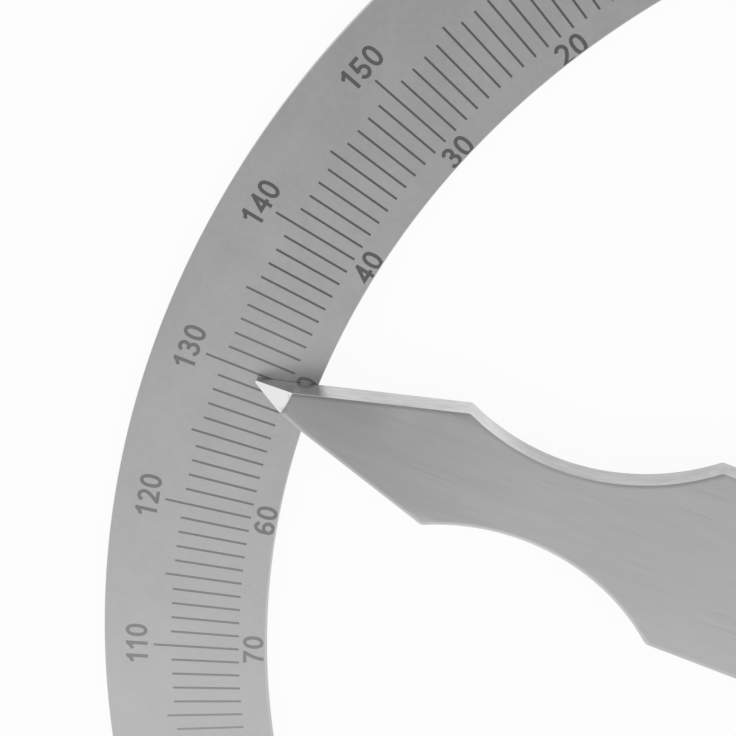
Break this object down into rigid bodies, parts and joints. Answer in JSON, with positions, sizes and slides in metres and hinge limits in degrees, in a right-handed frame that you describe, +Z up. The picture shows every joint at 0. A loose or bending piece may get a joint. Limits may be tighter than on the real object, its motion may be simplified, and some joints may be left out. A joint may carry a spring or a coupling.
{
  "type": "bench protractor",
  "caption": "Steel protractor with an open half-round degree scale and a pivoting rail: bevelled pointer at one end, measuring blade at the other, held by a knurled clamp nut.",
  "frame": {"origin": "on the pivot axis, at the flat underside of the scale plate", "axes": "+Z up out of the scale's face, +Y from the pivot to the crown of the arc, +X to the end of the base line that reads 180 on the outer row"},
  "size_m": [0.2414, 0.269, 0.0152],
  "materials": {
    "plate_steel": "fine matt satin, with a dark etched scale",
    "rail_steel": "lengthways brushed, bright ground bevel at the tip",
    "turned_steel": "fine turned",
    "nut_steel": "satin nickel, straight knurled rim",
    "spring_steel": "dark satin spring steel",
    "washer_brass": "plain turned bronze"
  },
  "bodies": {
    "scale": {"scale_plate": "plate_steel", "pivot_stud": "turned_steel", "friction_washer": "washer_brass", "thrust_washer": "turned_steel", "retaining_ring": "spring_steel"},
    "rail": {"pointer_rail": "rail_steel", "pivot_bush": "washer_brass"},
    "spring": {"disc_spring": "spring_steel"},
    "nut": {"clamp_nut": "nut_steel"}
  },
  "joints": [
    {"name": "rail_swing", "type": "hinge", "parent": "scale", "child": "rail", "pos_m": [0, 0, 0], "axis": [0, 0, 1], "range_deg": [-50.65, 129.35]},
    {"name": "spring_lift", "type": "slide", "parent": "scale", "child": "spring", "axis": [0, 0, 1], "range_m": [0, 0.0008]},
    {"name": "nut_turn", "type": "hinge", "parent": "spring", "child": "nut", "pos_m": [0, 0, 0], "axis": [0, 0, 1], "range_deg": [0, 360]}
  ],
  "couplings": [
    {"joint": "spring_lift", "follows": "nut_turn", "m_per_rad": 0.0001273}
  ]
}
